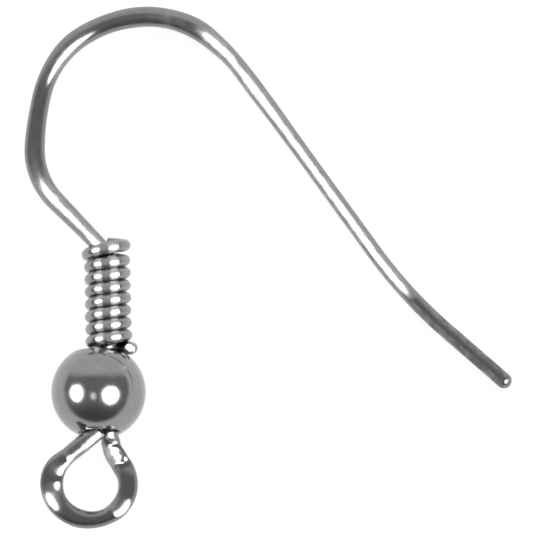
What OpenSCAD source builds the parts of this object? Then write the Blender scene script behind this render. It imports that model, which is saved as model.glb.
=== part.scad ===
// Ear wire with a bead and a coil, lying on its side.
// It is drawn flat first: the stem stands along Y, the bead's centre is the origin and Z is
// the side that shows. It is then tilted on to its three points of rest.

/* [Wire] */
// Wire of the stem, inside the coil and the bead
wire_d = 0.70; // [0.60:0.01:0.80]
// Thick wire over the arch
arch_wire_d = 0.85; // [0.75:0.01:0.95]
// Wire of the leg and the tail
tail_wire_d = 0.67; // [0.55:0.01:0.75]
// Wire round the loop
loop_wire_d = 0.80; // [0.70:0.01:0.90]

/* [Bead] */
// Diameter of the bead
bead_d = 4.0; // [3.6:0.05:4.4]
// Diameter of the hole through the bead
bore_d = 1.8; // [1.7:0.01:2.0]

/* [Coil] */
// Wire of the coil
coil_wire_d = 0.51; // [0.40:0.01:0.55]
// Number of turns
coil_turns = 8.333; // [5.333:1:10.333]
// Space between neighbouring turns
coil_turn_gap = 0.024; // [0.02:0.002:0.1]
// Space between the coil and the stem
coil_play = 0.13; // [0.08:0.01:0.2]
// How far the turns lie lower in front than behind, for each mm of depth
coil_slant = 0.12; // [0:0.01:0.15]
// How far the top turn opens upwards
coil_top_lift = 0.11; // [0:0.01:0.3]
// How far the top turn swells to pass the shoulder
coil_top_swell = 0.10; // [0.05:0.005:0.15]
// How far the cut end at the foot stands out
coil_foot_flare = 0.30; // [0:0.01:0.4]

/* [Hook] */
// Radius of the bend from the stem into the shoulder
shoulder_bend_r = 0.50; // [0.45:0.01:0.8]
// Lean of the shoulder away from the stem, in degrees
shoulder_lean = 41.6; // [35:0.1:50]
// Length of the straight shoulder
shoulder_length = 3.05; // [2.4:0.05:3.6]
// Mean radius of the arch
arch_r = 4.45; // [4:0.05:5]
// Length over which the thick wire thins into the leg
taper_length = 0.7; // [0.4:0.05:1]
// Length of the straight leg
leg_length = 9.55; // [8:0.05:11]
// Radius of the slow bend between leg and tail
tail_bend_r = 20; // [15:0.1:25]
// How far the tail turns away from the leg, in degrees
tail_turn = 12.9; // [8:0.1:18]
// Length of the straight tail, without its round tip
tail_length = 3.3; // [2.5:0.05:4]

/* [Loop] */
// Radius of the bend from the stem into the loop
loop_neck_r = 1.45; // [1:0.05:1.8]
// Mean radius of the loop
loop_r = 1.48; // [1.35:0.01:1.7]
// Slope of the strand that comes back to the bead, in degrees
loop_return_slope = 38.3; // [33:0.1:44]
// Length over which the loop's wire thins on its way back to the bead
loop_taper_length = 0.8; // [0.5:0.05:1]

/* [Clearances] */
// Space left between metal parts that touch on the real piece
gap = 0.03; // [0.02:0.005:0.05]
// Space between the stem and the side of the bead's hole
bore_play = 0.08; // [0.05:0.01:0.12]

/* [Hidden] */
$fn = 48;

// Directions in the flat drawing, in degrees from X
UP = 90;
DOWN = -90;

// How far the rows of the wire reach into each other, and how much thinner they are there
overlap = 0.01;
hair = 0.004;

// Places along the stem
stem_x = bore_d / 2 - bore_play - wire_d / 2;
rim_y = sqrt(pow(bead_d / 2, 2) - pow(bore_d / 2, 2));
neck_y = -bead_d / 2;

// The coil's centre line at t turns from its foot: how far it is from the stem, at which angle,
// and how far it has risen. It ends behind the stem, and its top turn crosses under the shoulder
// three quarters of a turn before that.
BACK = -90;
coil_r = wire_d / 2 + coil_play + coil_wire_d / 2;
coil_pitch = coil_wire_d + coil_turn_gap;
crossing = coil_turns - 0.75;
function eased(x) = let (c = min(1, max(0, x))) c * c * (3 - 2 * c);
function coil_angle(t) = BACK + 360 * (coil_turns - t);
function coil_reach(t) = coil_r
    + coil_top_swell * (1 - eased(abs(t - crossing) / 0.5))
    + coil_foot_flare * (1 - eased(t / 0.25));
function coil_side(t) = coil_reach(t) * cos(coil_angle(t));
function coil_front(t) = coil_reach(t) * sin(coil_angle(t));
function coil_rise(t) = coil_pitch * t
    + coil_top_lift * eased((t - crossing) / 0.35)
    - coil_slant * coil_front(t);

// The first turn sits a gap clear of the ball, or of the rim of its hole
seat_room = coil_wire_d / 2 + gap;
seat_r = bead_d / 2 + seat_room;
function seat_y(out) = out * bead_d / 2 > seat_r * bore_d / 2
    ? sqrt(pow(seat_r, 2) - pow(out, 2))
    : rim_y + sqrt(max(0, pow(seat_room, 2) - pow(bore_d / 2 - out, 2)));
function seated(t) = seat_y(norm([stem_x + coil_side(t), coil_front(t)])) - coil_rise(t);
coil_base = max([for (t = [0 : 0.01 : 1]) seated(t)]);

crossing_y = coil_base + coil_rise(crossing);
crossing_room = (wire_d + coil_wire_d) / 2 + gap;
corner_y = crossing_y
    + (crossing_room - (coil_r + coil_top_swell) * cos(shoulder_lean)) / sin(shoulder_lean);
stem_top = corner_y - shoulder_bend_r * tan(shoulder_lean / 2);

// A row of a route is a straight or an arc, with the wire's diameter where it starts and ends.
// An arc turns to the left by its angle, or to the right by a negative one.
function straight(length, start_d, end_d) = [false, length, 0, start_d, end_d];
function arc(radius, turn, d) = [true, radius, turn, d, d];
function is_arc(row) = row[0];
function size_of(row) = row[1];
function turn_of(row) = row[2];
function start_d_of(row) = row[3];
function end_d_of(row) = row[4];
function d_at(row, share) = start_d_of(row) + (end_d_of(row) - start_d_of(row)) * share;

// Arcs of the arch: [radius as a share of the mean radius, turn]
ARCH = [[0.70, -44], [2.97, -9.2], [0.92, -45.6], [1.20, -18.6], [0.94, -55.2]];
CREST_TO_LEG = [1.19, -14.8];

hook_route = concat(
    [arc(shoulder_bend_r, shoulder_lean, wire_d)],
    [straight(shoulder_length, wire_d, arch_wire_d)],
    [for (a = ARCH) arc(a[0] * arch_r, a[1], arch_wire_d)],
    [straight(taper_length, arch_wire_d, tail_wire_d)],
    [arc(CREST_TO_LEG[0] * arch_r, CREST_TO_LEG[1], tail_wire_d)],
    [straight(leg_length, tail_wire_d, tail_wire_d)],
    [arc(tail_bend_r, tail_turn, tail_wire_d)],
    [straight(tail_length, tail_wire_d, tail_wire_d)]
);

// Arcs of the loop: [radius as a share of the mean radius, share of the whole turn]
LOOP = [[0.80, 0.066], [0.97, 0.266], [1.14, 0.471], [0.77, 0.197]];
loop_lean = 30.2;
loop_turn = 270 + loop_lean - loop_return_slope;

function loop_arcs() = [for (a = LOOP) arc(a[0] * loop_r, -a[1] * loop_turn, loop_wire_d)];
function loop_start(strand) = [
    arc(loop_neck_r, loop_lean, wire_d),
    straight(strand, wire_d, loop_wire_d)
];

// A place on a route: [x, y, heading]
function ahead(place, row) = let (
    h = place[2],
    s = turn_of(row) < 0 ? -1 : 1,
    r = size_of(row),
    e = h + turn_of(row)
) is_arc(row)
    ? [place[0] + s * r * (sin(e) - sin(h)), place[1] - s * r * (cos(e) - cos(h)), e]
    : [place[0] + r * cos(h), place[1] + r * sin(h), h];
function places(place, rows, i = 0) =
    i == len(rows) ? [place] : concat([place], places(ahead(place, rows[i]), rows, i + 1));
function last(list) = list[len(list) - 1];

// The front strand of the loop is as long as it takes for the strand that comes back to pass
// the rim of the bead's hole with room to spare
loop_begin = [stem_x, neck_y, DOWN];
return_normal = [-sin(loop_return_slope), cos(loop_return_slope)];
strand_way = [sin(loop_lean), -cos(loop_lean)];
no_strand = last(places(loop_begin, concat(loop_start(0), loop_arcs())));
rim_room = wire_d / 2 + gap;
loop_strand = (return_normal * [-bore_d / 2 - no_strand[0], -rim_y - no_strand[1]] - rim_room)
    / (return_normal * strand_way);

// The strand that comes back is cut off flush beside the stem
cut_x = stem_x - wire_d / 2 - gap;
loop_bend = concat(loop_start(loop_strand), loop_arcs());
loop_back = last(places(loop_begin, loop_bend));
return_length = (cut_x - loop_back[0]) / cos(loop_return_slope);
cut_reach = wire_d;
loop_route = concat(
    loop_bend,
    [straight(loop_taper_length, loop_wire_d, wire_d)],
    [straight(return_length - loop_taper_length + cut_reach, wire_d, wire_d)]
);

hook_begin = [stem_x, stem_top, UP];
hook_places = places(hook_begin, hook_route);
loop_places = places(loop_begin, loop_route);

// Rest: the bead, the end of the arch and the tip of the tail lie on the floor
ARCH_END = 2 + len(ARCH);
bead_at = [0, 0];
arch_at = [hook_places[ARCH_END][0], hook_places[ARCH_END][1]];
tip_at = [last(hook_places)[0], last(hook_places)[1]];
to_bead = bead_at - tip_at;
to_arch = arch_at - tip_at;
bead_rise = (bead_d - tail_wire_d) / 2;
arch_rise = (arch_wire_d - tail_wire_d) / 2;
rest_area = to_bead[0] * to_arch[1] - to_bead[1] * to_arch[0];
lean_x = (bead_rise * to_arch[1] - arch_rise * to_bead[1]) / rest_area;
lean_y = (arch_rise * to_bead[0] - bead_rise * to_arch[0]) / rest_area;
lean = sqrt(lean_x * lean_x + lean_y * lean_y);
tilt = asin(lean);
level = cos(tilt);
ax = lean_y / lean;
ay = -lean_x / lean;
tilt_rows = [
    [level + ax * ax * (1 - level), ax * ay * (1 - level), ay * lean],
    [ax * ay * (1 - level), level + ay * ay * (1 - level), -ax * lean],
    [-ay * lean, ax * lean, level]
];

// Corners of the resting piece, from points along the wire's centre line
STEPS = 40;
function part_way(row, share) = is_arc(row)
    ? arc(size_of(row), turn_of(row) * share, start_d_of(row))
    : straight(size_of(row) * share, start_d_of(row), end_d_of(row));
function reach(route, at, axis, side) = [
    for (i = [0 : len(route) - 1]) for (k = [0 : STEPS])
        let (p = ahead(at[i], part_way(route[i], k / STEPS)))
            side * (tilt_rows[axis] * [p[0], p[1], 0]) + d_at(route[i], k / STEPS) / 2
];
function edge(axis, side) = side * max(concat(
    reach(hook_route, hook_places, axis, side),
    reach(loop_route, loop_places, axis, side)
));
function middle(axis) = (edge(axis, 1) + edge(axis, -1)) / 2;

module at_rest() {
    translate([-middle(0), -middle(1), bead_d / 2])
        rotate(a = tilt, v = [ax, ay, 0])
            children();
}

// One row of a route, drawn along X from the origin. Rows overlap, so that they fuse into one
// wire: every other row reaches a little into its neighbours and is a hair thinner than they are.
module stretch(row, reaching) {
    more = reaching ? overlap : 0;
    less = reaching ? hair : 0;
    size = size_of(row);
    turn = turn_of(row);
    if (is_arc(row)) {
        side = turn < 0 ? -1 : 1;
        begin = turn < 0 ? 90 + turn : -90;
        more_turn = more / size * 180 / PI;
        translate([0, side * size, 0])
            rotate([0, 0, begin - more_turn])
                rotate_extrude(angle = abs(turn) + 2 * more_turn)
                    translate([size, 0]) circle(d = start_d_of(row) - less);
    } else {
        translate([-more, 0, 0]) rotate([0, 90, 0])
            cylinder(h = size + 2 * more, d1 = start_d_of(row) - less, d2 = end_d_of(row) - less);
    }
}

module laid(rows, at, i) {
    translate([at[i][0], at[i][1], 0]) rotate([0, 0, at[i][2]])
        stretch(rows[i], reaching = i % 2 == 0);
}

module round_tip(place, d) {
    translate([place[0], place[1], 0]) rotate([0, 0, place[2]]) rotate([0, 90, 0])
        rotate_extrude() {
            intersection() {
                circle(d = d - hair);
                square(d);
            }
            translate([0, -overlap]) square([(d - hair) / 2, 2 * overlap]);
        }
}

module beside_the_stem() {
    long = 2 * bead_d;
    translate([cut_x, -long, -long]) cube(2 * long);
}

module ear_wire() {
    color("silver") at_rest() {
        translate([stem_x, neck_y, 0]) rotate([-90, 0, 0])
            cylinder(h = stem_top - neck_y, d = wire_d);
        for (i = [0 : len(hook_route) - 1]) laid(hook_route, hook_places, i);
        round_tip(last(hook_places), tail_wire_d);
        for (i = [0 : len(loop_route) - 2]) laid(loop_route, loop_places, i);
        difference() {
            laid(loop_route, loop_places, len(loop_route) - 1);
            beside_the_stem();
        }
    }
}

module bead() {
    color("darkgray") at_rest() difference() {
        sphere(d = bead_d);
        rotate([-90, 0, 0]) cylinder(h = 2 * bead_d, d = bore_d, center = true);
    }
}

function coil_point(t) = [stem_x + coil_side(t), coil_base + coil_rise(t), coil_front(t)];
function unit(v) = v / norm(v);

COIL_SIDES = 10;
STEPS_PER_TURN = 20;
coil_steps = ceil(coil_turns * STEPS_PER_TURN);
small = 0.01;
function coil_ring(t) = let (
    way = unit(coil_point(t + small) - coil_point(t - small)),
    out = unit(cross(way, [0, 1, 0])),
    high = cross(out, way)
) [for (k = [0 : COIL_SIDES - 1]) coil_point(t)
    + coil_wire_d / 2 * (out * cos(360 * k / COIL_SIDES) + high * sin(360 * k / COIL_SIDES))];

module coil() {
    points = [for (i = [0 : coil_steps]) each coil_ring(coil_turns * i / coil_steps)];
    foot = [for (k = [0 : COIL_SIDES - 1]) k];
    top = [for (k = [COIL_SIDES - 1 : -1 : 0]) coil_steps * COIL_SIDES + k];
    sides = [for (i = [0 : coil_steps - 1]) for (k = [0 : COIL_SIDES - 1])
        let (a = i * COIL_SIDES, b = a + COIL_SIDES, n = (k + 1) % COIL_SIDES)
            [a + k, b + k, b + n, a + n]];
    color("lightgray") at_rest() polyhedron(points, concat([foot, top], sides));
}

ear_wire();
coil();
bead();
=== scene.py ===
import math
import bpy
import numpy as np
from mathutils import Matrix, Vector


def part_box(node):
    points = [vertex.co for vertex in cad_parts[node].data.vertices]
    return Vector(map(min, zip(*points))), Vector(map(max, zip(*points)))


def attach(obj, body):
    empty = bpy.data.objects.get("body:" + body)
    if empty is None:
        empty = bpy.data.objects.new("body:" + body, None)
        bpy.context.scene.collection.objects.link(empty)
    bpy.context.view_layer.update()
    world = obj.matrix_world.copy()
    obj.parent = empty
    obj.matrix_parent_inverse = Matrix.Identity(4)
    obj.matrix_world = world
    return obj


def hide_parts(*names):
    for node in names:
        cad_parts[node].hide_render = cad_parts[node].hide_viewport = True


# The ear wire lies on its side on a white table. Lengths are in millimetres until a mesh is made.
# Flat coordinates: X across, Y along the stem, Z towards the viewer, origin at the bead's centre.
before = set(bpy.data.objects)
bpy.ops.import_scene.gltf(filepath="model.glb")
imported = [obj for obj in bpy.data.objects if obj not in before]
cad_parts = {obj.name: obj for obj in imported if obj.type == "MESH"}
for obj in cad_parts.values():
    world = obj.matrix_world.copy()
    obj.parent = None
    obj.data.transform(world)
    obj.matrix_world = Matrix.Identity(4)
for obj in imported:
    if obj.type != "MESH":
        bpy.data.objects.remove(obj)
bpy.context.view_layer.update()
MM = 0.001

# Sizes, as in the part's source
wire_d = 0.70
arch_wire_d = 0.85
tail_wire_d = 0.67
bead_d = 4.0
bore_d = 1.8
coil_wire_d = 0.51
coil_turns = 8.333
coil_turn_gap = 0.024
coil_play = 0.13
coil_slant = 0.12
coil_top_lift = 0.11
coil_top_swell = 0.10
coil_foot_flare = 0.30
shoulder_bend_r = 0.50
shoulder_lean = 41.6
shoulder_length = 3.05
arch_r = 4.45
taper_length = 0.7
leg_length = 9.55
tail_bend_r = 20.0
tail_turn = 12.9
tail_length = 3.3
loop_neck_r = 1.45
loop_lean = 30.2
loop_r = 1.48
loop_return_slope = 38.3
gap = 0.03
bore_play = 0.08
# Arcs of the arch: (radius as a share of arch_r, turn in degrees)
ARCH = [(0.70, -44.0), (2.97, -9.2), (0.92, -45.6), (1.20, -18.6), (0.94, -55.2)]
CREST_TO_LEG = (1.19, -14.8)
# Arcs of the loop: (radius as a share of loop_r, share of the loop's whole turn)
LOOP = [(0.80, 0.066), (0.97, 0.266), (1.14, 0.471), (0.77, 0.197)]
# Directions in the flat drawing, in degrees from X
HEADING_UP = 90.0
HEADING_DOWN = -90.0
# Directions round the stem, in degrees from X towards the viewer
BEHIND = -90.0

stem_x = bore_d / 2 - bore_play - wire_d / 2
rim_y = math.sqrt((bead_d / 2) ** 2 - (bore_d / 2) ** 2)
neck_y = -bead_d / 2


def sind(a):
    return math.sin(math.radians(a))


def cosd(a):
    return math.cos(math.radians(a))


def eased(x):
    """A smooth step from 0 to 1."""
    inside = min(1.0, max(0.0, x))
    return inside * inside * (3 - 2 * inside)


def unit(vectors):
    return vectors / np.linalg.norm(vectors, axis=1)[:, None]


# The coil's centre line, by turns from its foot. Its top turn crosses under the shoulder this many
# turns before the end, and its forms take this many turns to come or go. It is tested against the
# bead at this many steps of its first turn.
CROSSING_BEFORE_END = 0.75
SWELL_TURNS = 0.5
FLARE_TURNS = 0.25
LIFT_TURNS = 0.35
SEAT_STEPS = 100
coil_r = wire_d / 2 + coil_play + coil_wire_d / 2
coil_pitch = coil_wire_d + coil_turn_gap
crossing = coil_turns - CROSSING_BEFORE_END


def coil_angle(turns):
    """Direction from the stem. The coil ends behind it."""
    return BEHIND + 360 * (coil_turns - turns)


def coil_reach(turns):
    """Distance from the stem's middle."""
    swell = coil_top_swell * (1 - eased(abs(turns - crossing) / SWELL_TURNS))
    return coil_r + swell + coil_foot_flare * (1 - eased(turns / FLARE_TURNS))


def coil_rise(turns):
    """Height over the coil's base. The turns lie lower in front than behind."""
    front = coil_reach(turns) * sind(coil_angle(turns))
    lift = coil_top_lift * eased((turns - crossing) / LIFT_TURNS)
    return coil_pitch * turns + lift - coil_slant * front


def seat_y(out):
    """Height at which the coil's wire clears the ball, or the rim of its hole, this far out."""
    room = coil_wire_d / 2 + gap
    seat_r = bead_d / 2 + room
    if out * bead_d / 2 > seat_r * bore_d / 2:
        return math.sqrt(seat_r ** 2 - out ** 2)
    return rim_y + math.sqrt(max(0.0, room ** 2 - (bore_d / 2 - out) ** 2))


def seated(turns):
    """The lowest base that lets the coil clear the bead here."""
    x = stem_x + coil_reach(turns) * cosd(coil_angle(turns))
    z = coil_reach(turns) * sind(coil_angle(turns))
    return seat_y(math.hypot(x, z)) - coil_rise(turns)


coil_base = max(seated(k / SEAT_STEPS) for k in range(SEAT_STEPS + 1))
crossing_y = coil_base + coil_rise(crossing)
crossing_room = (wire_d + coil_wire_d) / 2 + gap
shoulder_reach = (coil_r + coil_top_swell) * cosd(shoulder_lean)
corner_y = crossing_y + (crossing_room - shoulder_reach) / sind(shoulder_lean)
stem_top = corner_y - shoulder_bend_r * math.tan(math.radians(shoulder_lean / 2))


# The wire's route. A place is (x, y, heading). A row is (size, turn): the radius and turn of an arc,
# or the length of a straight and 0.
def ahead(place, row, share=1.0):
    """The place that the wire reaches after a share of this row."""
    x, y, heading = place
    size, turn = row
    if turn == 0:
        return (x + size * share * cosd(heading), y + size * share * sind(heading), heading)
    side = -1 if turn < 0 else 1
    end = heading + turn * share
    across = side * size * (sind(end) - sind(heading))
    return (x + across, y - side * size * (cosd(end) - cosd(heading)), end)


def length_of(row):
    size, turn = row
    return size * math.radians(abs(turn)) if turn else size


def places(place, rows):
    """The places at the start of a route and after each of its rows."""
    found = [place]
    for row in rows:
        found.append(ahead(found[-1], row))
    return found


hook_begin = (stem_x, stem_top, HEADING_UP)
hook_route = [
    (shoulder_bend_r, shoulder_lean),
    (shoulder_length, 0),
    *[(share * arch_r, turn) for share, turn in ARCH],
    (taper_length, 0),
    (CREST_TO_LEG[0] * arch_r, CREST_TO_LEG[1]),
    (leg_length, 0),
    (tail_bend_r, tail_turn),
    (tail_length, 0),
]
hook_places = places(hook_begin, hook_route)
arch_end = hook_places[2 + len(ARCH)]
tail_tip = hook_places[-1]

loop_begin = (stem_x, neck_y, HEADING_DOWN)
loop_turn = 270 + loop_lean - loop_return_slope
loop_arcs = [(share * loop_r, -part * loop_turn) for share, part in LOOP]
# The loop's raised end stops this much sooner than the source's, clear of the stem
END_BACK = 0.19


def loop_bend(strand):
    """The loop's route up to its returning strand, with a front strand of this length."""
    return [(loop_neck_r, loop_lean), (strand, 0)] + loop_arcs


def front_strand():
    """The front strand is as long as it takes for the returning one to pass the rim of the bore."""
    short = places(loop_begin, loop_bend(0.0))[-1]
    across_x, across_y = -sind(loop_return_slope), cosd(loop_return_slope)
    room = wire_d / 2 + gap
    to_rim = across_x * (-bore_d / 2 - short[0]) + across_y * (-rim_y - short[1]) - room
    return to_rim / (across_x * sind(loop_lean) - across_y * cosd(loop_lean))


def returning_strand(bend):
    """The strand that comes back, cut off beside the stem."""
    cut_x = stem_x - wire_d / 2 - gap
    length = (cut_x - places(loop_begin, bend)[-1][0]) / cosd(loop_return_slope)
    return (length - END_BACK, 0)


loop_front = loop_bend(front_strand())
loop_route = loop_front + [returning_strand(loop_front)]


def rest_tilt():
    """The turn that lays the bead, the end of the arch and the tip of the tail on the table."""
    to_bead = (-tail_tip[0], -tail_tip[1])
    to_arch = (arch_end[0] - tail_tip[0], arch_end[1] - tail_tip[1])
    bead_rise = (bead_d - tail_wire_d) / 2
    arch_rise = (arch_wire_d - tail_wire_d) / 2
    area = to_bead[0] * to_arch[1] - to_bead[1] * to_arch[0]
    lean_x = (bead_rise * to_arch[1] - arch_rise * to_bead[1]) / area
    lean_y = (arch_rise * to_bead[0] - bead_rise * to_arch[0]) / area
    lean = math.hypot(lean_x, lean_y)
    return Matrix.Rotation(math.asin(lean), 3, Vector((lean_y / lean, -lean_x / lean, 0)))


TILT = np.array(rest_tilt())
bead_low, bead_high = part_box("bead")
bead_middle = (Vector(bead_low) + Vector(bead_high)) / 2 / MM
BEAD_AT = np.array(bead_middle)


def rested(points):
    """Flat millimetres to metres in the row's frame."""
    return (np.asarray(points, float) @ TILT.T + BEAD_AT) * MM


def direction(x, y, z):
    """A flat direction as it lies at rest."""
    return Vector(TILT @ np.array([x, y, z], float)).normalized()


# Meshes
def mesh_object(name, verts, faces, uvs, wear_and_shade=None):
    """A smooth piece. Faces that aren't quads are flat caps with sharp edges."""
    mesh = bpy.data.meshes.new(name)
    mesh.from_pydata([tuple(v) for v in verts], [], faces)
    layer = mesh.uv_layers.new(name="along")
    for poly, corners in zip(mesh.polygons, uvs):
        for loop_index, uv in zip(poly.loop_indices, corners):
            layer.data[loop_index].uv = uv
    if wear_and_shade is not None:
        attribute = mesh.attributes.new("wear_and_shade", "FLOAT", "POINT")
        attribute.data.foreach_set("value", np.asarray(wear_and_shade, np.float32))
    mesh.validate()
    mesh.update()
    cap_edges = set()
    for poly in mesh.polygons:
        poly.use_smooth = len(poly.vertices) == 4
        if not poly.use_smooth:
            cap_edges.update(poly.edge_keys)
    for mesh_edge in mesh.edges:
        mesh_edge.use_edge_sharp = mesh_edge.key in cap_edges
    obj = bpy.data.objects.new(name, mesh)
    bpy.context.scene.collection.objects.link(obj)
    return obj


def tube(name, centres, normals, binormals, half_wide, half_deep, sides, wear_and_shade=None, start=None, end=None):
    """A closed sweep. start and end are lists of (how far out, share of the width) for the two caps."""
    ways = np.cross(normals, binormals)
    rings, marks = [], []
    run = np.r_[0, np.cumsum(np.linalg.norm(np.diff(centres, axis=0), axis=1))]
    wear_and_shade = np.zeros(len(centres)) if wear_and_shade is None else wear_and_shade
    angles = 2 * np.pi * np.arange(sides) / sides

    def ring(i, out=0.0, share=1.0):
        rings.append(centres[i] + ways[i] * out
                     + share * (half_wide[i] * np.cos(angles)[:, None] * normals[i]
                                + half_deep[i] * np.sin(angles)[:, None] * binormals[i]))
        marks.append((run[i] + out, wear_and_shade[i]))

    for out, share in reversed(start or []):
        ring(0, -out, share)
    for i in range(len(centres)):
        ring(i)
    for out, share in (end or []):
        ring(len(centres) - 1, out, share)
    verts = np.concatenate(rings)
    faces, uvs, round_mm = [], [], 2 * np.pi * np.mean(half_wide)
    for i in range(len(rings) - 1):
        v0, v1 = marks[i][0], marks[i + 1][0]
        for k in range(sides):
            n = (k + 1) % sides
            faces.append((i * sides + k, i * sides + n, (i + 1) * sides + n, (i + 1) * sides + k))
            u0, u1 = k / sides * round_mm, (k + 1) / sides * round_mm
            uvs.append([(u0, v0), (u1, v0), (u1, v1), (u0, v1)])
    faces.append(tuple(range(sides - 1, -1, -1)))
    uvs.append([(0, marks[0][0])] * sides)
    last = (len(rings) - 1) * sides
    faces.append(tuple(range(last, last + sides)))
    uvs.append([(0, marks[-1][0])] * sides)
    wear_and_shade_points = np.repeat([mark[1] for mark in marks], sides)
    return mesh_object(name, rested(verts), faces, uvs, wear_and_shade_points)


# Ends of a wire, as lists of (how far out, share of the width). The last ring of a dome is a small
# disc. A cut end is rounded by shares of its chamfer and of its narrowing, and the inside of its face
# stands out a hair.
DOME_STEPS = 8
DOME_DISC = 0.02
CUT_ROUNDING = [(0.3, 0.2), (0.8, 0.6), (1, 1)]
CUT_FACE_OUT = 1.02
CUT_INSIDE = 0.5


def dome(radius):
    """A round end."""
    angles = np.linspace(0, math.pi / 2, DOME_STEPS + 1)[1:]
    return [(radius * math.sin(a), max(DOME_DISC, math.cos(a))) for a in angles]


def cut(chamfer, share):
    """A cut end this long, with a face of this share of the width."""
    rounding = [(chamfer * out, 1 - (1 - share) * narrowed) for out, narrowed in CUT_ROUNDING]
    return rounding + [(chamfer * CUT_FACE_OUT, share * CUT_INSIDE)]


# The ear wire, sampled at small steps in millimetres. The photo looks down on its plane from a
# little below the loop: the slopes are the plane's, seen from the camera.
STEP = 0.05
SLOPE_X = 0.055
SLOPE_Y = -0.18
WIRE_SIDES = 36
# The wire as the pliers left it, as (share of the way along the loop or the hook, millimetres)
LOOP_WIDTHS = [(0, 0.76), (0.04, 0.96), (0.07, 1.02), (0.11, 0.98), (0.16, 0.84), (0.25, 0.82),
               (0.32, 0.80), (0.37, 0.70), (0.42, 0.70), (0.50, 0.80), (0.60, 0.88), (0.69, 0.98),
               (0.76, 0.94), (0.84, 0.70), (0.92, 0.75), (1, 0.68)]
LOOP_HEIGHTS = [(0, 0), (0.115, -0.28), (0.25, -0.15), (0.46, -0.15), (0.70, 0.40), (1, 0.50)]
LOOP_DRIFTS = [(0, 0), (0.62, 0), (0.72, 0.06), (0.76, 0.07), (0.84, 0.05), (1, 0.06)]
HOOK_WIDTHS = [(0, 0.70), (0.04, 0.70), (0.09, 0.82), (0.155, 0.88), (0.20, 0.79), (0.25, 0.78),
               (0.29, 0.87), (0.34, 0.83), (0.37, 0.87), (0.41, 0.84), (0.45, 0.89), (0.475, 0.80),
               (0.505, 0.70), (0.55, 0.75), (0.60, 0.69), (0.65, 0.66), (1, 0.66)]
HOOK_DRIFTS = [(0, 0), (0.04, 0), (0.09, 0.04), (0.17, 0.06), (0.22, 0.01), (0.255, 0.02),
               (0.29, 0.06), (0.33, 0.02), (0.37, -0.02), (0.42, 0), (0.45, 0.03), (0.475, 0.02),
               (0.51, -0.05), (0.55, -0.02), (0.59, 0), (1, 0)]
HOOK_DEPTHS = [(0, 0.70), (0.02, 0.70), (0.10, 0.85), (0.465, 0.85), (0.53, 0.67), (1, 0.67)]
HOOK_HEIGHTS = [(0, 0), (0.28, 0), (0.42, 0.05), (0.46, 0), (0.51, 0.06), (0.58, 0), (0.852, 0.05),
                (0.882, 0), (1, 0)]
# The flat at the neck: how far the wire is twisted there, in degrees, and how thick it is
LOOP_TWISTS = [(0, 0), (0.03, 38), (0.11, 38), (0.16, 0), (1, 0)]
NECK_FLAT = 0.50
# A form that a stretch doesn't have
NONE_HERE = [(0, 0), (1, 0)]
# Width times depth of a flattened stretch, as a share of the stem's
FLAT_SECTION = 1.12
# How much of the bend before the straight tail is worn and painted darker as it is, and the share of the
# hook over which the wear and painted shade set in
TAIL_MORE = 1.9
WEAR_AND_SHADE_SETS_IN = 0.03
# Seams between stretches: this far down from the neck, and this far up from the coil's base
NECK_SEAM_DOWN = 0.25
COIL_SEAM_UP = 1.5
# How finely a table is read, and over how many of those readings it is smoothed
READINGS = 401
SMOOTHED_OVER = 17


def sampled(begin, rows):
    """Points along a route: x, y, heading and distance."""
    out, at, gone = [], begin, 0.0
    for row in rows:
        count = max(2, int(math.ceil(length_of(row) / STEP)))
        for k in range(count):
            out.append((*ahead(at, row, k / count), gone + length_of(row) * k / count))
        gone += length_of(row)
        at = ahead(at, row)
    out.append((*at, gone))
    return np.array(out)


def along(table, share):
    """Smooth reading of a list of (share, value)."""
    xs, ys = zip(*table)
    fine = np.linspace(0, 1, READINGS)
    rough = np.interp(fine, xs, ys)
    kernel = np.hanning(SMOOTHED_OVER)
    padded = np.pad(rough, SMOOTHED_OVER // 2, mode="edge")
    return np.interp(share, fine, np.convolve(padded, kernel / kernel.sum(), mode="valid"))


stem_steps = int((stem_top - neck_y) / STEP)
stem_points = np.array([(stem_x, neck_y + (stem_top - neck_y) * k / stem_steps, HEADING_UP)
                        for k in range(1, stem_steps)])
# The loop is taken from its end to the neck
loop_points = sampled(loop_begin, loop_route)[::-1]
hook_points = sampled(hook_begin, hook_route)
loop_share = loop_points[:, 3] / loop_points[0, 3]
hook_share = hook_points[:, 3] / hook_points[-1, 3]
wear_and_shade_from = 1 - (tail_length + TAIL_MORE) / hook_points[-1, 3]


def over_wire(loop_table, stem_value, hook_table):
    """A form at each point of the wire, from the loop's end through the stem to the tip of the tail."""
    stem_values = np.full(len(stem_points), stem_value)
    return np.r_[along(loop_table, loop_share), stem_values, along(hook_table, hook_share)]


def centre_line(flat_normals):
    """The middle of the wire, with its drifts and heights."""
    flat = np.r_[loop_points[:, :2], stem_points[:, :2], hook_points[:, :2]]
    centres = np.c_[flat, np.zeros(len(flat))]
    # The loop's end is raised along the line of sight, so that it passes before the stem as in the photo
    centres += over_wire(LOOP_HEIGHTS, 0, NONE_HERE)[:, None] * np.array([SLOPE_X, SLOPE_Y, 1])
    centres += over_wire(LOOP_DRIFTS, 0, HOOK_DRIFTS)[:, None] * flat_normals
    centres[-len(hook_points):, 2] += along(HOOK_HEIGHTS, hook_share)
    return centres


def across_wire(centres, flat_normals, twist):
    """The two directions across the wire at each point, turned about it by its twist."""
    ways = unit(np.gradient(centres, axis=0))
    binormals = unit(np.cross(ways, flat_normals))
    normals = np.cross(binormals, ways)
    cosine, sine = np.cos(twist), np.sin(twist)
    return normals * cosine - binormals * sine, binormals * cosine + normals * sine


def loop_depths():
    """The loop's depth: what its width leaves of the section, and the flat at the neck."""
    wide, twist = along(LOOP_WIDTHS, loop_share), along(LOOP_TWISTS, loop_share)
    neck = twist / max(twist)
    return np.minimum(wide, wire_d ** 2 / wide * FLAT_SECTION) * (1 - neck) + NECK_FLAT * neck


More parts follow.
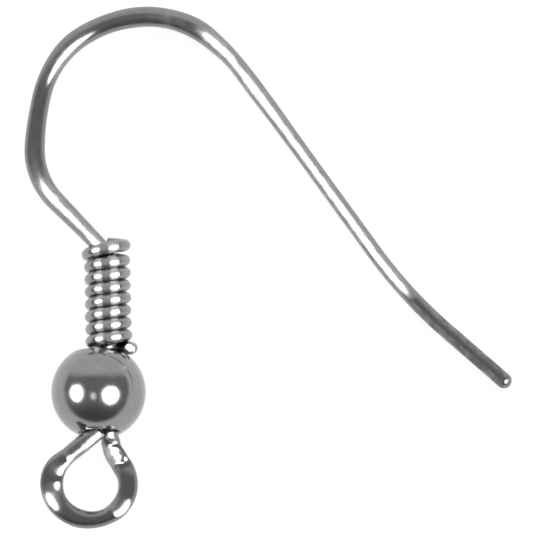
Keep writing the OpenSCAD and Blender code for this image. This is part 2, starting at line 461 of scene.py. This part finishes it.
def whole_wire():
    """Middle, two directions across, half width, half depth, and wear with painted shade, at each point
    of the wire.
    """
    heading = np.radians(np.r_[loop_points[:, 2] + 180, stem_points[:, 2], hook_points[:, 2]])
    flat_normals = np.c_[-np.sin(heading), np.cos(heading), np.zeros(len(heading))]
    centres = centre_line(flat_normals)
    twist = np.radians(over_wire(LOOP_TWISTS, 0, NONE_HERE))[:, None]
    normals, binormals = across_wire(centres, flat_normals, twist)
    wide = over_wire(LOOP_WIDTHS, wire_d, HOOK_WIDTHS)
    deep = np.r_[loop_depths(), np.full(len(stem_points), wire_d), along(HOOK_DEPTHS, hook_share)]
    without_wear_and_shade = np.zeros(len(loop_points) + len(stem_points))
    # The tail is marked for real wear and for painted shade that darkens it in patches
    wear_and_shade = np.r_[without_wear_and_shade, np.clip((hook_share - wear_and_shade_from) / WEAR_AND_SHADE_SETS_IN, 0, 1)]
    return centres, normals, binormals, wide / 2, deep / 2, wear_and_shade


def stretch(whole, name, first, last, start=None, end=None):
    """The wire from one point to another. At a seam its end is flat."""
    centres, normals, binormals, half_wide, half_deep, wear_and_shade = (form[first:last + 1] for form in whole)
    return tube(name, centres, normals, binormals, half_wide, half_deep, WIRE_SIDES, wear_and_shade, start, end)


def ear_wire():
    """The wire in four stretches: the loop, the stem, the bent wire of arch and leg, and the tail."""
    whole = whole_wire()
    neck, tip = len(loop_points) - 1, len(whole[0]) - 1
    neck_seam = neck - int(NECK_SEAM_DOWN / STEP)
    coil_seam = neck + int((coil_base + COIL_SEAM_UP - neck_y) / STEP)
    tail_seam = tip + 1 - int((tail_length + TAIL_MORE) / STEP)
    return (
        stretch(whole, "wire_loop", 0, neck_seam, start=cut(chamfer=0.09, share=0.72)),
        stretch(whole, "wire_stem", neck_seam, coil_seam),
        stretch(whole, "wire_bent", coil_seam, tail_seam),
        stretch(whole, "wire_tail", tail_seam, tip, end=dome(tail_wire_d / 2)),
    )


# The coil, with this many steps to a turn. Its foot droops towards the bead, and each half turn is
# drawn a little wider or tighter.
COIL_STEPS = 44
COIL_SIDES = 24
FOOT_DROOP = 0.04
DROOP_TURNS = 0.12
UNEVEN_EVERY = 0.5
UNEVEN_BY = 0.010
UNEVEN_SEED = 5


def unevenness(turns):
    """How much wider or tighter the coil is wound here, in millimetres."""
    marks = np.arange(0, coil_turns + 1, UNEVEN_EVERY)
    draws = np.random.RandomState(UNEVEN_SEED).normal(0, UNEVEN_BY, len(marks))
    return np.interp(turns, marks, draws)


def coil_point(turns, wider):
    reach = coil_reach(turns) + wider
    droop = FOOT_DROOP * (1 - eased(turns / DROOP_TURNS))
    angle = coil_angle(turns)
    return (stem_x + reach * cosd(angle), coil_base + coil_rise(turns) - droop, reach * sind(angle))


def coil_wound():
    turns = np.linspace(0, coil_turns, int(coil_turns * COIL_STEPS))
    centres = np.array([coil_point(t, wider) for t, wider in zip(turns, unevenness(turns))])
    ways = unit(np.gradient(centres, axis=0))
    outward = unit(np.cross(ways, (0, 1, 0)))
    upward = np.cross(outward, ways)
    half = np.full(len(turns), coil_wire_d / 2)
    ends = cut(chamfer=0.05, share=0.78)
    return tube("coil_wound", centres, outward, -upward, half, half, COIL_SIDES, start=ends, end=ends)


# The bead: a ball turned from its profile, with a rounded lip at each mouth of its hole. A step of
# the profile counts for this many millimetres in the noise, and the hole's dull metal starts this
# many faces out on each lip.
RIM_ROUND = 0.08
BALL_STEPS = 73
LIP_STEPS = 12
BORE_STEPS = 14
BEAD_SIDES = 128
PROFILE_STEP = 0.07
DULL_LIP_FACES = 3


def bead_profile():
    """Points (distance from the axis, height) of the ball, the top lip, the bore and the bottom lip."""
    lip_x = bore_d / 2 + RIM_ROUND
    lip_y = math.sqrt((bead_d / 2 - RIM_ROUND) ** 2 - lip_x ** 2)
    lip_angle = math.atan2(lip_y, lip_x)
    ball = [(bead_d / 2 * math.cos(a), bead_d / 2 * math.sin(a))
            for a in np.linspace(-lip_angle, lip_angle, BALL_STEPS)]
    top_lip = [(lip_x + RIM_ROUND * math.cos(a), lip_y + RIM_ROUND * math.sin(a))
               for a in np.linspace(lip_angle, math.pi, LIP_STEPS)[1:]]
    bore = [(bore_d / 2, y) for y in np.linspace(lip_y, -lip_y, BORE_STEPS)[1:-1]]
    bottom_lip = [(x, -y) for x, y in reversed(top_lip)]
    return ball, top_lip, bore, bottom_lip


def bead_drilled():
    ball, top_lip, bore, bottom_lip = bead_profile()
    profile = ball + top_lip + bore + bottom_lip
    rows = len(profile)
    verts, faces, uvs = [], [], []
    for k in range(BEAD_SIDES):
        n = (k + 1) % BEAD_SIDES
        a = 2 * math.pi * k / BEAD_SIDES
        verts += [(x * math.cos(a), y, x * math.sin(a)) for x, y in profile]
        u0, u1 = k / BEAD_SIDES * math.pi * bead_d, (k + 1) / BEAD_SIDES * math.pi * bead_d
        for i in range(rows):
            j = (i + 1) % rows
            faces.append((k * rows + i, k * rows + j, n * rows + j, n * rows + i))
            v0, v1 = i * PROFILE_STEP, (i + 1) * PROFILE_STEP
            uvs.append([(u0, v0), (u0, v1), (u1, v1), (u1, v0)])
    piece = mesh_object("bead_drilled", rested(verts), faces, uvs)
    bore_from = len(ball) + len(top_lip)
    dull = range(bore_from - 1 - DULL_LIP_FACES, bore_from + len(bore) + DULL_LIP_FACES)
    for number, poly in enumerate(piece.data.polygons):
        poly.material_index = int(number % rows in dull)
    return piece


wire_pieces = ear_wire()
loop_piece, stem_piece, bent_piece, tail_piece = wire_pieces
coil_piece = coil_wound()
bead_piece = bead_drilled()


# Nodes that the materials and the room share
def noise(tree, source, scale, detail=3):
    """Noise over a place, with a scale for each of its axes."""
    mapping = tree.nodes.new("ShaderNodeMapping")
    mapping.inputs["Scale"].default_value = scale
    tree.links.new(source, mapping.inputs["Vector"])
    texture = tree.nodes.new("ShaderNodeTexNoise")
    texture.inputs["Scale"].default_value = 1.0
    texture.inputs["Detail"].default_value = detail
    tree.links.new(mapping.outputs["Vector"], texture.inputs["Vector"])
    return texture.outputs["Fac"]


def ranged(tree, value, old, new, shape="LINEAR"):
    """A value taken from its old range to a new one."""
    node = tree.nodes.new("ShaderNodeMapRange")
    node.interpolation_type = shape
    for socket, limit in zip(("From Min", "From Max", "To Min", "To Max"), (*old, *new)):
        node.inputs[socket].default_value = limit
    tree.links.new(value, node.inputs["Value"])
    return node.outputs["Result"]


def maths(tree, how, *values):
    """The product, sum, difference or larger one of two values. Each is a number or a socket."""
    node = tree.nodes.new("ShaderNodeMath")
    node.operation = how
    for socket, value in zip(node.inputs, values):
        if isinstance(value, (int, float)):
            socket.default_value = value
        else:
            tree.links.new(value, socket)
    return node.outputs[0]


def grey_of(tree, value):
    """A colour with the same value in red, green and blue."""
    colour = tree.nodes.new("ShaderNodeCombineColor")
    for socket in colour.inputs:
        tree.links.new(value, socket)
    return colour.outputs["Color"]


def bumped(tree, height, strength, distance, under=None):
    """A normal with a bump of this many millimetres, on top of another one."""
    node = tree.nodes.new("ShaderNodeBump")
    node.inputs["Strength"].default_value = strength
    node.inputs["Distance"].default_value = distance * MM
    tree.links.new(height, node.inputs["Height"])
    if under is not None:
        tree.links.new(under, node.inputs["Normal"])
    return node.outputs["Normal"]


# The metals. Waves and worn patches, which on the tail are also painted shade, are noise over the part,
# with scales per metre, and scratches and drawn lines are noise over a piece, with scales per millimetre
# round it and along it.
WAVE_SCALE = (900, 900, 900)
WORN_AND_SHADED_SCALE = (2600, 2600, 2600)
SCRATCH_SCALE = (7, 2.2, 1)
LINE_SCALE = (26, 1.1, 1)
# The middle part of the noise that is used, and the part over which a patch goes from clean to worn and
# painted darker
NOISE_RANGE = (0.3, 0.7)
SPECK_RANGE = (0.35, 0.65)
WORN_AND_SHADED_RANGE = (0.40, 0.62)
# Shares by which waves change the shade, scratches change the roughness and worn patches darken the metal
# as painted shade on top of wear, and the roughness that wear adds
WAVE_SHADE = 0.04
SCRATCH_ROUGH = 0.12
PAINTED_TAIL_SHADE = 0.2
WORN_ROUGH = 0.16
# Heights of the drawn lines and of the waves, in millimetres
LINE_HEIGHT = 0.004
WAVE_HEIGHT = 0.02


def around(middle, share):
    """A range that reaches this share of its middle to each side."""
    return (middle * (1 - share), middle * (1 + share))


def brush(tree, shader, amount):
    """Blurs reflections round the wire, as fine lines along it do."""
    shader.inputs["Anisotropic"].default_value = amount
    tangent = tree.nodes.new("ShaderNodeTangent")
    tangent.direction_type = "UV_MAP"
    tangent.uv_map = "along"
    tree.links.new(tangent.outputs["Tangent"], shader.inputs["Tangent"])


def metal(name, shade, rough, lines, waves, specks, brushed=0.0):
    """Bright plated metal. lines and waves are strengths of bumps, and specks is a share of the shade.
    Where a piece is marked, worn patches are rougher and painted darker as shade.
    """
    material = bpy.data.materials.new(name)
    material.use_nodes = True
    tree = material.node_tree
    shader = tree.nodes["Principled BSDF"]
    shader.inputs["Metallic"].default_value = 1.0
    shader.inputs["IOR"].default_value = 1.5
    if brushed:
        brush(tree, shader, brushed)
    place = tree.nodes.new("ShaderNodeTexCoord").outputs["Object"]
    along_piece = tree.nodes.new("ShaderNodeUVMap")
    along_piece.uv_map = "along"
    wear_and_shade = tree.nodes.new("ShaderNodeAttribute")
    wear_and_shade.attribute_name = "wear_and_shade"
    slow = noise(tree, place, WAVE_SCALE, detail=2)
    patches = noise(tree, place, WORN_AND_SHADED_SCALE)
    scratches = noise(tree, along_piece.outputs["UV"], SCRATCH_SCALE)
    drawn = noise(tree, along_piece.outputs["UV"], LINE_SCALE)
    # Worn patches on the tail: rougher metal, and a painted shade that darkens its colour
    tarnish_and_shade = maths(tree, "MULTIPLY", ranged(tree, patches, WORN_AND_SHADED_RANGE, (0, 1)), wear_and_shade.outputs["Fac"])
    tone = maths(tree, "MULTIPLY", ranged(tree, scratches, SPECK_RANGE, around(1, specks)),
                 ranged(tree, slow, NOISE_RANGE, around(1, WAVE_SHADE)))
    unshaded = maths(tree, "SUBTRACT", 1.0, maths(tree, "MULTIPLY", tarnish_and_shade, PAINTED_TAIL_SHADE))
    tone = maths(tree, "MULTIPLY", tone, unshaded)
    tree.links.new(grey_of(tree, maths(tree, "MULTIPLY", tone, shade)), shader.inputs["Base Color"])
    dull = maths(tree, "ADD", ranged(tree, scratches, NOISE_RANGE, around(rough, SCRATCH_ROUGH)),
                 maths(tree, "MULTIPLY", tarnish_and_shade, WORN_ROUGH))
    tree.links.new(dull, shader.inputs["Roughness"])
    lined = bumped(tree, drawn, lines, LINE_HEIGHT)
    tree.links.new(bumped(tree, slow, waves, WAVE_HEIGHT, lined), shader.inputs["Normal"])
    return material


def finish_with(piece, material, node):
    piece.data.materials.append(material)
    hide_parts(node)
    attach(piece, "root")


wire_metal = metal("wire_metal", 0.25, rough=0.185, lines=0.4, waves=0.3, specks=0.05, brushed=1.0)
coil_metal = metal("coil_metal", 0.31, rough=0.243, lines=0.3, waves=0.4, specks=0.05, brushed=1.0)
bead_metal = metal("bead_metal", 0.29, rough=0.16, lines=0.15, waves=0.6, specks=0.04)
bore_metal = metal("bore_metal", 0.5, rough=0.55, lines=0.5, waves=0.5, specks=0.1)
for piece in wire_pieces:
    finish_with(piece, wire_metal, "ear_wire")
finish_with(coil_piece, coil_metal, "coil")
finish_with(bead_piece, bead_metal, "bead")
bead_piece.data.materials.append(bore_metal)

# The camera: the stem's lean to the left in the picture, the picture's width, and its middle from
# the bead's
STEM_LEAN = 1.13
PICTURE_WIDTH = 22.57
MIDDLE_RIGHT = 7.137
MIDDLE_UP = 5.221
CAMERA_FAR = 600.0
SENSOR = 36
# The nearest and the farthest that it sees, in metres
CLIP_START = 0.01
CLIP_END = 10

# The picture's directions: towards the camera, up and to the right
back = direction(SLOPE_X, SLOPE_Y, 1)
stem_seen = direction(0, 1, 0)
stem_seen = (stem_seen - back * stem_seen.dot(back)).normalized()
up = Matrix.Rotation(math.radians(-STEM_LEAN), 3, back) @ stem_seen
right = up.cross(back)


def placed(point, x_way, y_way, z_way):
    """The place of an object at a point in millimetres, with its axes along three directions."""
    return Matrix.Translation(point * MM) @ Matrix((x_way, y_way, z_way)).transposed().to_4x4()


def photo_camera():
    camera = bpy.data.objects.new("camera", bpy.data.cameras.new("camera"))
    camera.data.sensor_width = SENSOR
    camera.data.lens = SENSOR * CAMERA_FAR / PICTURE_WIDTH
    camera.data.clip_start = CLIP_START
    camera.data.clip_end = CLIP_END
    middle = Vector(bead_middle) + right * MIDDLE_RIGHT + up * MIDDLE_UP
    camera.matrix_world = placed(middle + back * CAMERA_FAR, right, up, back)
    bpy.context.scene.collection.objects.link(camera)
    bpy.context.scene.camera = camera


photo_camera()

# The table, with its side in metres. It glows, so that it is as white as in the photo.
TABLE_SIDE = 1.0
GRAIN_SCALE = 900
PAPER_GREYS = (0.48, 0.52)
PAPER_GLOW = 0.85


def paper():
    """Matt white paper with a fine grain."""
    material = bpy.data.materials.new("table_white")
    material.use_nodes = True
    tree = material.node_tree
    shader = tree.nodes["Principled BSDF"]
    shader.inputs["Roughness"].default_value = 0.9
    shader.inputs["Specular IOR Level"].default_value = 0.0
    grain = tree.nodes.new("ShaderNodeTexNoise")
    grain.inputs["Scale"].default_value = GRAIN_SCALE
    greys = ranged(tree, grain.outputs["Fac"], (0, 1), PAPER_GREYS)
    tree.links.new(grey_of(tree, greys), shader.inputs["Base Color"])
    shader.inputs["Emission Color"].default_value = (1, 1, 1, 1)
    shader.inputs["Emission Strength"].default_value = PAPER_GLOW
    return material


def white_table():
    mesh = bpy.data.meshes.new("table")
    half = TABLE_SIDE / 2
    corners = [(-half, -half, 0), (half, -half, 0), (half, half, 0), (-half, half, 0)]
    mesh.from_pydata(corners, [], [(0, 1, 2, 3)])
    table = bpy.data.objects.new("table", mesh)
    bpy.context.scene.collection.objects.link(table)
    mesh.materials.append(paper())


white_table()


# The lamps, each lighting only the pieces that it names
def studio_light(name, way, narrow, wide, angle, radiance, far, lit):
    """An oval lamp seen from the bead at a direction in the picture, with its two half angles.

    angle says which way its wide axis lies in the picture, in degrees from the right."""
    way = (right * way[0] + up * way[1] + back * way[2]).normalized()
    long_way = right * cosd(angle) + up * sind(angle)
    long_way = (long_way - way * long_way.dot(way)).normalized()
    light = bpy.data.lights.new(name, "AREA")
    light.shape = "ELLIPSE"
    wide_r, narrow_r = (far * math.tan(math.radians(a)) * MM for a in (wide, narrow))
    light.size = 2 * wide_r
    light.size_y = 2 * narrow_r
    light.energy = radiance * math.pi * math.pi * wide_r * narrow_r
    lamp = bpy.data.objects.new(name, light)
    lamp.matrix_world = placed(Vector(bead_middle) + way * far, long_way, way.cross(long_way), way)
    bpy.context.scene.collection.objects.link(lamp)
    group = bpy.data.collections.new(name)
    for piece in lit:
        group.objects.link(piece)
    lamp.light_linking.receiver_collection = group


# How far the lamps stand, in millimetres
NEAR = 260.0
FAR = 900.0
# Each lamp: name, direction (right, up, to the camera), narrow and wide half angles in degrees, angle
# of the wide axis, radiance, how far it stands, and the pieces that it lights
LAMPS = [
    ("lamp_left", (-0.82, -0.04, 0.57), 17, 18, 90, 8, NEAR, [bead_piece]),
    ("lamp_right", (0.507, -0.121, 0.853), 21, 21, 0, 7, NEAR, [bead_piece]),
    ("lamp_camera", (-0.21, -0.16, 0.96), 7, 8, 90, 1.8, NEAR, [bead_piece]),
    ("lamp_coil_left", (-0.740, -0.036, 0.672), 21, 23, 90, 11, NEAR, [coil_piece]),
    ("lamp_coil_right", (0.660, -0.130, 0.740), 24, 25, 90, 14, NEAR, [coil_piece]),
    ("lamp_coil_front", (0.0, 0.0, 1.0), 45, 45, 0, 0.5, FAR, [coil_piece, stem_piece]),
    ("lamp_arch", (0.575, -0.235, 0.784), 19, 24, -40, 12, NEAR, [bent_piece, tail_piece]),
    ("lamp_hook", (-0.330, 0.182, 0.926), 1.6, 7, 44, 620, NEAR, [bent_piece]),
    ("lamp_tail", (-0.70, -0.38, 0.60), 22, 26, 0, 0.6, NEAR, [tail_piece]),
    ("lamp_loop_right", (0.637, -0.410, 0.656), 16, 30, -44, 15, NEAR, [loop_piece]),
    ("lamp_loop_left", (-0.500, -0.330, 0.800), 8, 14, 33, 50, NEAR, [loop_piece]),
    ("lamp_stem", (0.098, 0.320, 0.942), 18, 28, 90, 30, NEAR, [stem_piece]),
]
for lamp in LAMPS:
    studio_light(*lamp)

# The room: the brightness of its walls, and of its ceiling from the picture's foot upwards
WALL = 0.98
CEILING = (0.13, 0.33)
# Where each begins and ends, as the dot product of its direction and the ray's
WALL_EDGE = (0.22, 0.70)
BAND_EDGE = (0.02, 0.20)
CEILING_EDGE = (-0.95, -0.2)
# How far the wall's direction leans from up, and the band's from the camera's
WALL_AWAY = 0.2
BAND_LEFT = 0.10
BAND_UP = 0.1


def room():
    """A bright wall above the picture, a bright band low all round, and a dim ceiling between them."""
    world = bpy.data.worlds.new("room")
    world.use_nodes = True
    bpy.context.scene.world = world
    tree = world.node_tree
    ray = tree.nodes.new("ShaderNodeTexCoord").outputs["Generated"]

    def facing(way, edge, values):
        """A brightness that changes smoothly the more a ray points in a direction."""
        node = tree.nodes.new("ShaderNodeVectorMath")
        node.operation = "DOT_PRODUCT"
        tree.links.new(ray, node.inputs[0])
        node.inputs[1].default_value = tuple(way)
        return ranged(tree, node.outputs["Value"], edge, values, "SMOOTHSTEP")

    wall = facing(up - back * WALL_AWAY, WALL_EDGE, (0, WALL))
    band = facing(back - right * BAND_LEFT + up * BAND_UP, BAND_EDGE, (WALL, 0))
    ceiling = facing(up, CEILING_EDGE, CEILING)
    glow = maths(tree, "MAXIMUM", maths(tree, "MAXIMUM", wall, band), ceiling)
    background = tree.nodes["Background"]
    tree.links.new(glow, background.inputs["Strength"])
    background.inputs["Color"].default_value = (1, 1, 1, 1)


room()
bpy.context.scene.view_settings.view_transform = "Standard"
bpy.context.scene.view_settings.look = "None"
